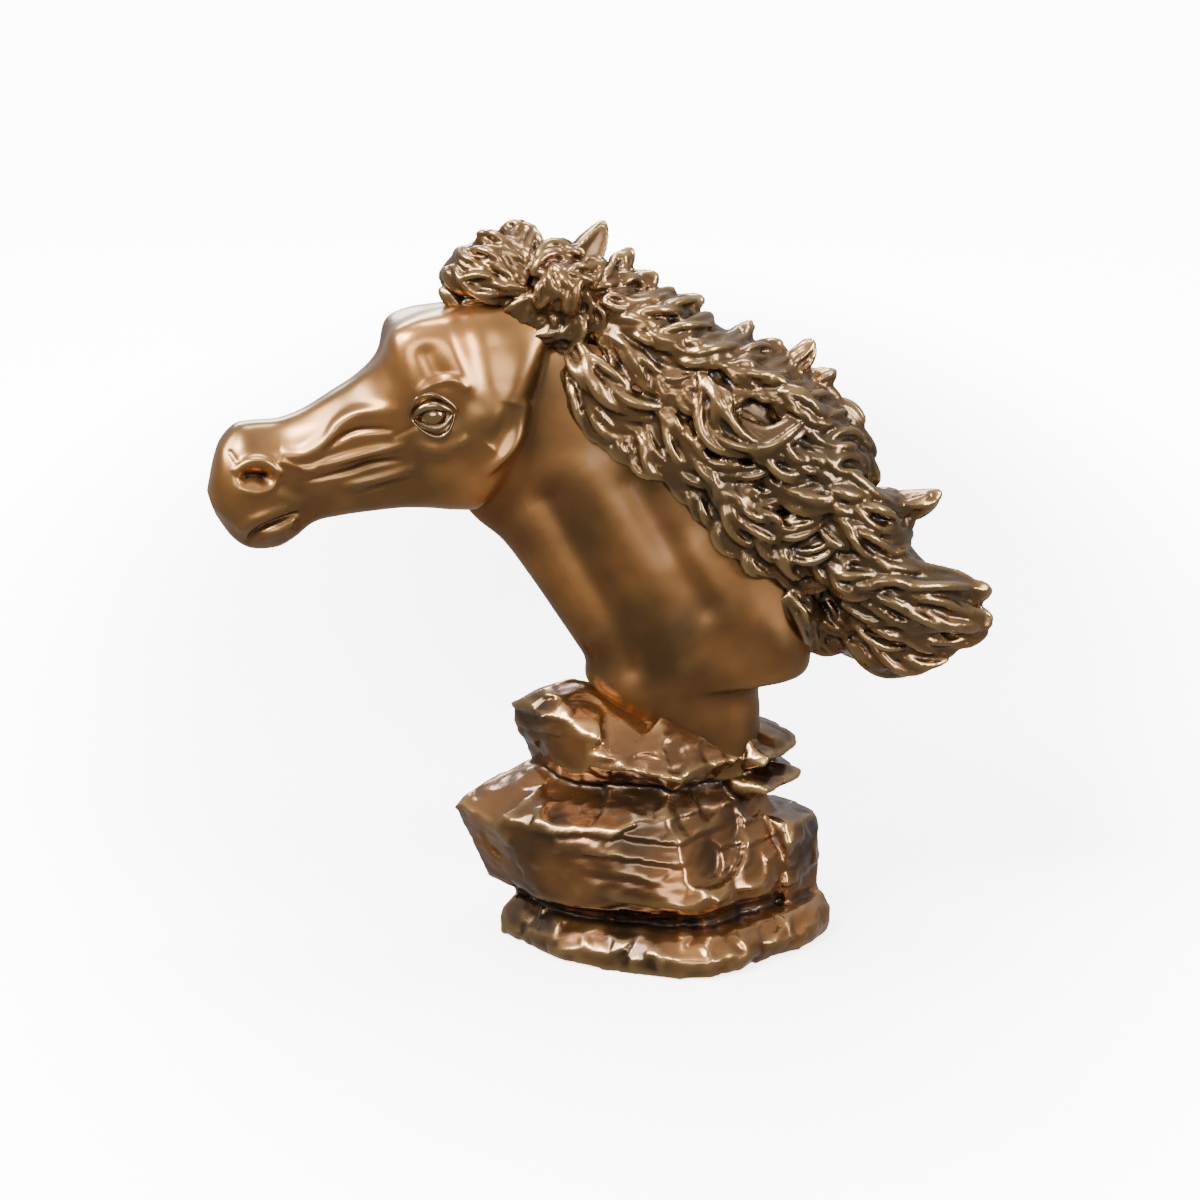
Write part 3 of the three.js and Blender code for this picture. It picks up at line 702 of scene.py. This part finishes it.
# Each ledge is a list of levels: height, left, right, near and far reach, in hundredths of the
# stand's height, width and depth, and the slope in hundredths at which the level starts to fall
# towards the right
LEDGES = {
    "foot": [
        [0, 51, 51.4, 53, 43, 0], [4, 52, 52.8, 55, 44, 0], [8, 51.4, 53, 54.4, 44, 0],
        [12, 49, 52, 51, 43, 0], [15, 46, 49.6, 46, 42, 0],
    ],
    "lower ledge": [
        [10, 43, 42, 36, 39, 0], [18, 47.6, 43, 39, 40, 0], [23, 56, 45, 48, 42, 0],
        [28, 58, 44, 51, 43, 0], [37, 60, 41, 47, 42, 0], [47, 65, 37, 45, 41, 0],
        [55, 60, 33, 42, 38, 0], [62, 50, 30, 34, 34, 0], [66, 43, 28, 26, 29, 0],
    ],
    "upper ledge": [
        [57, 37, 26, 20, 27, 0], [60, 40, 28, 26, 30, 0], [65, 42, 29, 33, 31, 0],
        [73, 44, 30, 39, 32, 4], [81, 46.6, 31, 36, 29, 24], [90, 48, 31, 32, 23, 50],
        [96.4, 41, 29, 27, 16, 60], [102, 27, 26, 18, 10, 60],
    ],
    "upper lobe": [
        [65, -12, 31, 12, 18, 0], [67, -12, 38, 17, 26, 0], [70, -12, 42, 19, 29, 0],
        [74, -12, 42, 18, 28, 0], [78, -12, 38, 15, 24, 0], [81, -12, 32, 11, 18, 0],
    ],
    "lower lobe": [
        [54, -10, 31, 14, 14, 0], [57, -10, 38, 19, 20, 0], [60, -10, 43.6, 23, 24, 0],
        [63.4, -10, 43, 22, 23, 0], [66.4, -10, 35, 15, 16, 0],
    ],
    "shoulder block": [
        [2, -22, 52, 14, 34, 0], [10, -22, 51, 16, 35, 0], [20, -20, 50.6, 17, 36, 0],
        [37, -20, 51.4, 16, 34, 0], [44, -18, 50, 15, 31, 0], [48, -16, 43, 12, 27, 0],
        [51, -16, 30, 8, 20, 0],
    ],
}
# How the rock is broken: number of chips, deepest cut and reach of one chip in millimetres
BIG_CHIPS, BIG_CHIP_DEPTH, BIG_CHIP_REACH = 150, 2.2, 24
SMALL_CHIPS, SMALL_CHIP_DEPTH, SMALL_CHIP_REACH = 420, 0.9, 8
# Its beds in millimetres: height of one bed, how far it steps out, and how far it rises and falls
BED_HEIGHT, BED_STEP, BED_SWAY = 7.4, 2.0, 2.0
GRAIN = 0.14  # height of the finest unevenness, in millimetres


def ledge(levels):
    table = np.array(levels, float)
    corners = np.array(ROCK_CORNERS)
    sides, rings = 320, 150
    degrees = np.arange(sides) * 360 / sides
    reach = np.interp(degrees, corners[:, 0], corners[:, 1])
    angle = np.radians(degrees)
    level = np.linspace(0, len(table) - 1, rings)
    rows = [np.interp(level, np.arange(len(table)), table[:, k])[:, None] for k in range(6)]
    height, left, right, nearby, farther, fall = rows
    x = ((right - left) / 2 + reach * np.cos(angle) * (left + right) / 2) * STAND_WIDTH / 100
    y = ((farther - nearby) / 2 + reach * np.sin(angle) * (nearby + farther) / 2)
    y = y * STAND_DEPTH / 100
    slope_run = 0.25 * STAND_WIDTH
    beyond = np.maximum(x + 0.3 * STAND_WIDTH, 0)
    drop = fall / 100 * slope_run * (1 - np.exp(-beyond / slope_run))
    z = height * STAND_HEIGHT / 100 - drop
    return closed_tube(np.stack([x, y, z], axis=-1))


def chipped(points, normals, chips, depth, tilt, reach, seed):
    """Breaks flat facets off the rock: what stands proud of a facet's plane is moved onto it.

    Tilt is how far, by chance, a facet turns away from the skin it is cut in."""
    chance = np.random.default_rng(seed)
    whole = points
    points = points.copy()
    for at in chance.integers(len(points), size=chips):
        facing = normals[at] + chance.normal(0, tilt, 3)
        facing /= np.linalg.norm(facing)
        plane = whole[at] @ facing - depth * chance.uniform(0.3, 1)
        near = ((whole - whole[at]) ** 2).sum(axis=1) < reach * reach
        # a facet that would take off a whole corner is left out
        if (whole[near] @ facing).max() - plane < 2 * depth:
            points[near] -= np.maximum(points[near] @ facing - plane, 0)[:, None] * facing
    return points


def wobble(points, size, seed):
    """A smooth random value from about -1 to 1 that changes over the given size."""
    chance = np.random.default_rng(seed)
    waves = chance.normal(0, 1, (14, 3)) * 2 * math.pi / size / 1.7
    phase = chance.uniform(0, 2 * math.pi, 14)
    return np.sin(points @ waves.T + phase).sum(axis=1) / 4


def cut_ledge(number, levels):
    piece = mesh_of("ledge", [ledge(levels)])
    points, normals = points_of(piece), normals_of(piece)
    # thin ledges get smaller chips: full size from 40 hundredths of the stand's height on
    thick = min((levels[-1][0] - levels[0][0]) / 40, 1)
    depth, reach = BIG_CHIP_DEPTH * thick * MM, BIG_CHIP_REACH * thick * MM
    points = chipped(points, normals, BIG_CHIPS, depth, 0.12, reach, 10 * number)
    # beds of the rock: thin steps, each undercut, that come and go along the ledge
    level = points[:, 2] + BED_SWAY * MM * wobble(points, 90 * MM, number)
    step = 1 - (level / (BED_HEIGHT * MM)) % 1
    shown = np.clip(0.45 + 0.9 * wobble(points, 36 * MM, 20 + number), 0, 1)
    upright = 1 - np.abs(normals[:, 2])
    points = points + normals * (BED_STEP * MM * (step - 0.4) * shown * upright)[:, None]
    depth, reach = SMALL_CHIP_DEPTH * MM, SMALL_CHIP_REACH * MM
    points = chipped(points, normals, SMALL_CHIPS, depth, 0.2, reach, 10 * number + 5)
    # the grain is drawn out along the beds
    layered = points * [1, 1, 2.5]
    points += normals * (GRAIN * MM * wobble(layered, 9 * MM, 40 + number))[:, None]
    set_points(piece, points)
    return piece


def rock():
    ledges = [cut_ledge(i, levels) for i, levels in enumerate(LEDGES.values())]
    bpy.ops.object.select_all(action="DESELECT")
    for each in ledges:
        each.select_set(True)
    bpy.context.view_layer.objects.active = ledges[0]
    bpy.ops.object.join()
    piece = bpy.context.active_object
    piece.name = piece.data.name = "rock_stand"
    finish_with(piece, "REMESH", mode="VOXEL", voxel_size=ROCK_VOXEL)
    finish_with(piece, "SMOOTH", factor=0.4, iterations=1)
    points = points_of(piece)
    points[:, 2] = np.maximum(points[:, 2], 0)
    set_points(piece, points)
    return piece


def modelled(name, parts, voxel, factor, times):
    """One skin over many closed parts, with its edges softened."""
    piece = mesh_of(name, parts)
    finish_with(piece, "REMESH", mode="VOXEL", voxel_size=voxel)
    finish_with(piece, "SMOOTH", factor=factor, iterations=times)
    return piece


def horse_head():
    piece = modelled("head", [skull()], HEAD_VOXEL, 0.5, 7)
    carve_head(piece)
    finish_with(piece, "SMOOTH", factor=0.4, iterations=2)
    return piece


def bare_neck():
    piece = modelled("neck", [neck()], NECK_VOXEL, 0.5, 4)
    carve_neck(piece)
    finish_with(piece, "SMOOTH", factor=0.5, iterations=6)
    return piece


def eyes_and_lids():
    return mesh_of("eyes_and_lids", eyes())


def near_mane():
    hair = [mass_of_hair(MANE_MASS)] + locks(MANE_LOCKS, -1)
    return modelled("near_mane", hair, NEAR_HAIR_VOXEL, 0.35, 1)


def far_mane():
    hair = [mass_of_hair(MANE_MASS)] + locks(MANE_LOCKS, 1)
    return modelled("far_mane", hair, FAR_HAIR_VOXEL, 0.35, 1)


def forelock_and_ears():
    hair = [mass_of_hair(FORELOCK_MASS)] + locks(FORELOCK_LOCKS, -1) + locks(FORELOCK_LOCKS, 1)
    return modelled("forelock_and_ears", hair + [ear(-1), ear(1)], FORELOCK_VOXEL, 0.35, 1)


# Materials

def mark_wear_and_painted_light(piece):
    """Stores how far each point stands out of its surroundings or lies in a hollow.

    Each measure is 0.5 on even ground; what stands out will be rubbed bright, as wear and a painted
    highlight, and what lies in a hollow darkened, as patina and painted shade."""
    mesh = piece.data
    count = len(mesh.vertices)
    ends = np.empty(len(mesh.edges) * 2, int)
    mesh.edges.foreach_get("vertices", ends)
    a, b = ends.reshape(-1, 2).T
    degree = np.bincount(np.concatenate([a, b]), minlength=count)[:, None]
    start = points_of(piece)
    normals = normals_of(piece)
    points = start.copy()
    # how many rounds of smoothing each measure compares with, and the height at which it is full
    for name, steps, gain in (("fine", 8, 0.5 * MM), ("broad", 60, 2.0 * MM)):
        for _ in range(steps):
            total = np.stack([
                np.bincount(a, points[b, k], count) + np.bincount(b, points[a, k], count)
                for k in range(3)
            ], axis=1)
            points = 0.5 * points + 0.5 * total / degree
        height = ((start - points) * normals).sum(axis=1) / gain
        for _ in range(6):
            total = np.bincount(a, height[b], count) + np.bincount(b, height[a], count)
            height = 0.4 * height + 0.6 * total / degree[:, 0]
        layer = mesh.attributes.new(name, "FLOAT", "POINT")
        layer.data.foreach_set("value", np.clip(0.5 + 0.5 * height, 0, 1))


def group_of(name, inputs, outputs):
    group = bpy.data.node_groups.new(name, "ShaderNodeTree")
    for label, kind in inputs:
        group.interface.new_socket(name=label, in_out="INPUT", socket_type=kind)
    for label, kind in outputs:
        group.interface.new_socket(name=label, in_out="OUTPUT", socket_type=kind)
    return group, group.nodes.new("NodeGroupInput"), group.nodes.new("NodeGroupOutput")


def noise(nodes, links, place, scale):
    node = nodes.new("ShaderNodeTexNoise")
    node.inputs["Scale"].default_value = scale
    node.inputs["Detail"].default_value = 2
    links.new(place, node.inputs["Vector"])
    return node.outputs["Fac"]


def ramp(nodes, links, value, stops):
    node = nodes.new("ShaderNodeValToRGB")
    elements = node.color_ramp.elements
    while len(elements) < len(stops):
        elements.new(0.5)
    for element, (position, color) in zip(elements, stops):
        element.position = position
        element.color = (*color, 1)
    links.new(value, node.inputs["Fac"])
    return node.outputs["Color"]


def sums(nodes, links, operation, a, b):
    """A sum or a product, kept between 0 and 1."""
    node = nodes.new("ShaderNodeMath")
    node.operation = operation
    node.use_clamp = True
    for socket, value in zip(node.inputs, (a, b)):
        if isinstance(value, (int, float)):
            socket.default_value = value
        else:
            links.new(value, socket)
    return node.outputs[0]


def blended(nodes, links, share, a, b, kind="MIX"):
    node = nodes.new("ShaderNodeMix")
    node.data_type = "RGBA"
    node.blend_type = kind
    for socket, value in ((node.inputs[0], share), (node.inputs[6], a), (node.inputs[7], b)):
        if isinstance(value, tuple):
            socket.default_value = (*value, 1)
        elif isinstance(value, (int, float)):
            socket.default_value = value
        else:
            links.new(value, socket)
    return node.outputs[2]


# Colours of the patina: the dark of the hollows, dark patina that also serves as painted shade in
# the grooves and undercuts, and the rubbed rims, worn bronze that also serves as a painted
# highlight along the edges
RECESS_PATINA_AND_SHADE = (0.010, 0.0062, 0.0036)
RUBBED_WEAR_AND_GLINT = (0.360, 0.228, 0.090)
# The brown of the bronze, and the warmer brown that clouds it, by piece. It is one bronze: the
# head's pair is made lighter as painted light and the neck's darker as painted shade, for how the
# light falls on them
HEAD_TONES_PAINTED_LIGHT = (0.170, 0.088, 0.030), (0.390, 0.176, 0.052)
NECK_TONES_PAINTED_SHADE = (0.080, 0.042, 0.015), (0.205, 0.092, 0.028)
HAIR_TONES = (0.076, 0.044, 0.016), (0.155, 0.078, 0.026)
ROCK_TONES = (0.062, 0.032, 0.013), (0.250, 0.108, 0.032)


def patina_and_painted_light_group():
    """Waxed bronze, dark in its hollows and rubbed warm on its high spots: the dark is patina and
    painted shade, the rubbed warmth is wear and a painted highlight.
    """
    group, given, out = group_of(
        "patina_and_painted_light",
        [("Brown", "NodeSocketColor"), ("Warm brown", "NodeSocketColor"),
         ("Wear and glint", "NodeSocketFloat"), ("Gloss", "NodeSocketFloat")],
        [("Color", "NodeSocketColor"), ("Roughness", "NodeSocketFloat"),
         ("Normal", "NodeSocketVector")],
    )
    nodes, links = group.nodes, group.links
    place = nodes.new("ShaderNodeTexCoord").outputs["Object"]
    fine = nodes.new("ShaderNodeAttribute")
    fine.attribute_name = "fine"
    broad = nodes.new("ShaderNodeAttribute")
    broad.attribute_name = "broad"
    cloud = noise(nodes, links, place, 22)
    mottle = noise(nodes, links, place, 70)
    clouded = ramp(nodes, links, cloud, [(0.38, (0, 0, 0)), (0.66, (1, 1, 1))])
    skin_color = blended(nodes, links, clouded,
                         given.outputs["Brown"], given.outputs["Warm brown"])
    mottled = ramp(nodes, links, mottle, [(0.3, (0.45, 0.45, 0.45)), (0.7, (1, 1, 1))])
    skin_color = blended(nodes, links, 0.35, skin_color, mottled, "MULTIPLY")
    high = sums(nodes, links, "ADD", sums(nodes, links, "MULTIPLY", fine.outputs["Fac"], 0.5),
                sums(nodes, links, "MULTIPLY", broad.outputs["Fac"], 0.5))
    # worn bronze on the high spots and rims, also a painted highlight standing in for glints
    rubbed_wear_and_glint = ramp(nodes, links, high, [(0.56, (0, 0, 0)), (0.86, (1, 1, 1))])
    rubbed_wear_and_glint = sums(nodes, links, "MULTIPLY", rubbed_wear_and_glint, given.outputs["Wear and glint"])
    # dark patina in the hollows, also painted shade in the grooves and undercuts
    hollow_patina_and_shade = ramp(nodes, links, high, [(0.2, (1, 1, 1)), (0.45, (0, 0, 0))])
    color = blended(nodes, links, rubbed_wear_and_glint, skin_color, RUBBED_WEAR_AND_GLINT)
    color = blended(nodes, links, hollow_patina_and_shade, color, RECESS_PATINA_AND_SHADE)
    links.new(color, out.inputs["Color"])
    rough = sums(nodes, links, "ADD", given.outputs["Gloss"],
                 sums(nodes, links, "MULTIPLY", hollow_patina_and_shade, 0.3))
    rough = sums(nodes, links, "ADD", rough, sums(nodes, links, "MULTIPLY", mottle, 0.08))
    links.new(rough, out.inputs["Roughness"])
    tooling = noise(nodes, links, place, 75)
    bump = nodes.new("ShaderNodeBump")
    bump.inputs["Strength"].default_value = 0.35
    bump.inputs["Distance"].default_value = 0.6 * MM
    links.new(tooling, bump.inputs["Height"])
    links.new(bump.outputs["Normal"], out.inputs["Normal"])
    return group


def bronze(name, tones, wear_and_glint, gloss, wax):
    material = bpy.data.materials.new(name)
    material.use_nodes = True
    nodes, links = material.node_tree.nodes, material.node_tree.links
    shader = nodes["Principled BSDF"]
    shader.inputs["Metallic"].default_value = 0.9
    shader.inputs["Coat Weight"].default_value = wax
    shader.inputs["Coat Roughness"].default_value = 0.16
    patina_and_painted_light = nodes.new("ShaderNodeGroup")
    patina_and_painted_light.node_tree = PATINA_AND_PAINTED_LIGHT_GROUP
    patina_and_painted_light.inputs["Brown"].default_value = (*tones[0], 1)
    patina_and_painted_light.inputs["Warm brown"].default_value = (*tones[1], 1)
    patina_and_painted_light.inputs["Wear and glint"].default_value = wear_and_glint
    patina_and_painted_light.inputs["Gloss"].default_value = gloss
    links.new(patina_and_painted_light.outputs["Color"], shader.inputs["Base Color"])
    links.new(patina_and_painted_light.outputs["Roughness"], shader.inputs["Roughness"])
    links.new(patina_and_painted_light.outputs["Normal"], shader.inputs["Normal"])
    return material


PATINA_AND_PAINTED_LIGHT_GROUP = patina_and_painted_light_group()
carved_bronze = bronze("carved_bronze", HAIR_TONES, 0.85, 0.21, 0.45)
pieces = [
    # one casting: the head's bronze is lighter as painted light, the neck's darker as painted shade
    (horse_head(), bronze("head_bronze_painted_light", HEAD_TONES_PAINTED_LIGHT, 0.6, 0.26, 0.2)),
    (bare_neck(), bronze("neck_bronze_painted_shade", NECK_TONES_PAINTED_SHADE, 0.6, 0.38, 0.15)),
    (eyes_and_lids(), bronze("eye_bronze", HAIR_TONES, 0.6, 0.12, 0.8)),
    (near_mane(), carved_bronze),
    (far_mane(), carved_bronze),
    (forelock_and_ears(), carved_bronze),
    (rock(), bronze("rock_bronze", ROCK_TONES, 1.0, 0.2, 0.3)),
]
for piece, finish in pieces:
    piece.data.materials.clear()
    piece.data.materials.append(finish)
    mark_wear_and_painted_light(piece)
    work_on(piece)
    bpy.ops.object.shade_smooth()
    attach(piece, "root")
    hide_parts("horse_head_bust")
    print(piece.name, sum(len(p.vertices) - 2 for p in piece.data.polygons), "triangles")


# The studio

WHITE = 11  # strength at which the far paper, and the world behind it, show white
PAPER_SIZE = 30
BUST_MIDDLE = Vector((0, 0, 0.15))


def paper_material():
    """Bright paper, with a painted shadow that makes it a little darker around the stand's foot."""
    material = bpy.data.materials.new("pale_paper")
    material.use_nodes = True
    nodes, links = material.node_tree.nodes, material.node_tree.links
    shader = nodes["Principled BSDF"]
    shader.inputs["Base Color"].default_value = (0.92, 0.92, 0.92, 1)
    shader.inputs["Roughness"].default_value = 0.9
    shader.inputs["Specular IOR Level"].default_value = 0.0
    shader.inputs["Emission Strength"].default_value = WHITE
    spread = nodes.new("ShaderNodeMapping")
    spread.inputs["Location"].default_value = (0, -0.45, 0)
    spread.inputs["Scale"].default_value = (2.4, 0.85, 1)
    links.new(nodes.new("ShaderNodeTexCoord").outputs["Object"], spread.inputs["Vector"])
    away = nodes.new("ShaderNodeVectorMath")
    away.operation = "LENGTH"
    links.new(spread.outputs["Vector"], away.inputs[0])
    # a painted shadow: the paper's glow dims towards the bust
    painted_shadow = ramp(nodes, links, away.outputs["Value"],
                 [(0.2, (0.22, 0.22, 0.22)), (0.55, (0.36, 0.36, 0.36)), (1, (1, 1, 1))])
    links.new(painted_shadow, shader.inputs["Emission Color"])
    return material


def studio():
    bpy.ops.object.select_all(action="DESELECT")
    bpy.ops.mesh.primitive_plane_add(size=PAPER_SIZE, location=(0, 0, 0))
    floor = bpy.context.active_object
    floor.name = "floor"
    floor.data.materials.append(paper_material())
    floor.visible_glossy = False
    floor.visible_diffuse = False
    world = bpy.data.worlds.new("studio")
    world.use_nodes = True
    bpy.context.scene.world = world
    nodes, links = world.node_tree.nodes, world.node_tree.links
    white = nodes["Background"]
    white.inputs["Color"].default_value = (1, 1, 1, 1)
    white.inputs["Strength"].default_value = WHITE
    room = nodes.new("ShaderNodeBackground")
    direction = nodes.new("ShaderNodeTexCoord")
    parts = nodes.new("ShaderNodeSeparateXYZ")
    links.new(direction.outputs["Generated"], parts.inputs["Vector"])
    height = nodes.new("ShaderNodeMapRange")
    height.inputs["From Min"].default_value = -1
    links.new(parts.outputs["Z"], height.inputs["Value"])
    glow = ramp(nodes, links, height.outputs["Result"], [
        (0.0, (0.55, 0.53, 0.50)), (0.5, (0.36, 0.36, 0.36)),
        (0.75, (0.8, 0.8, 0.82)), (1.0, (1.5, 1.5, 1.5)),
    ])
    links.new(glow, room.inputs["Color"])
    path = nodes.new("ShaderNodeLightPath")
    mix = nodes.new("ShaderNodeMixShader")
    links.new(path.outputs["Is Camera Ray"], mix.inputs["Fac"])
    links.new(room.outputs["Background"], mix.inputs[1])
    links.new(white.outputs["Background"], mix.inputs[2])
    links.new(mix.outputs["Shader"], nodes["World Output"].inputs["Surface"])
    # place, width and height, and power of each soft light
    for name, place, size, power in (
        ("key", (-0.7, -1.0, 1.4), (0.42, 0.42), 50),
        ("soft_key", (-1.2, -0.6, 1.2), (1.1, 0.8), 66),
        ("low_front", (0.1, -1.7, 0.6), (1.1, 0.6), 15),
        ("fill", (1.35, -0.8, 0.7), (0.5, 0.9), 36),
        ("top", (0.1, 0.25, 1.7), (0.9, 0.5), 28),
        ("back", (-0.4, 1.5, 1.0), (1.0, 0.6), 25),
    ):
        light = bpy.data.lights.new(name, "AREA")
        light.shape = "ELLIPSE"
        light.size, light.size_y = size
        light.energy = power
        lamp = bpy.data.objects.new(name, light)
        lamp.location = place
        towards_bust = BUST_MIDDLE - Vector(place)
        lamp.rotation_euler = towards_bust.to_track_quat("-Z", "Y").to_euler()
        bpy.context.collection.objects.link(lamp)


def camera():
    data = bpy.data.cameras.new("main_view")
    data.lens = LENS
    data.sensor_width = SENSOR
    eye = bpy.data.objects.new("main_view", data)
    eye.location = Vector(view_eye)
    eye.rotation_euler = (-Vector(view_back)).to_track_quat("-Z", "Y").to_euler()
    bpy.context.collection.objects.link(eye)
    bpy.context.scene.camera = eye


studio()
camera()
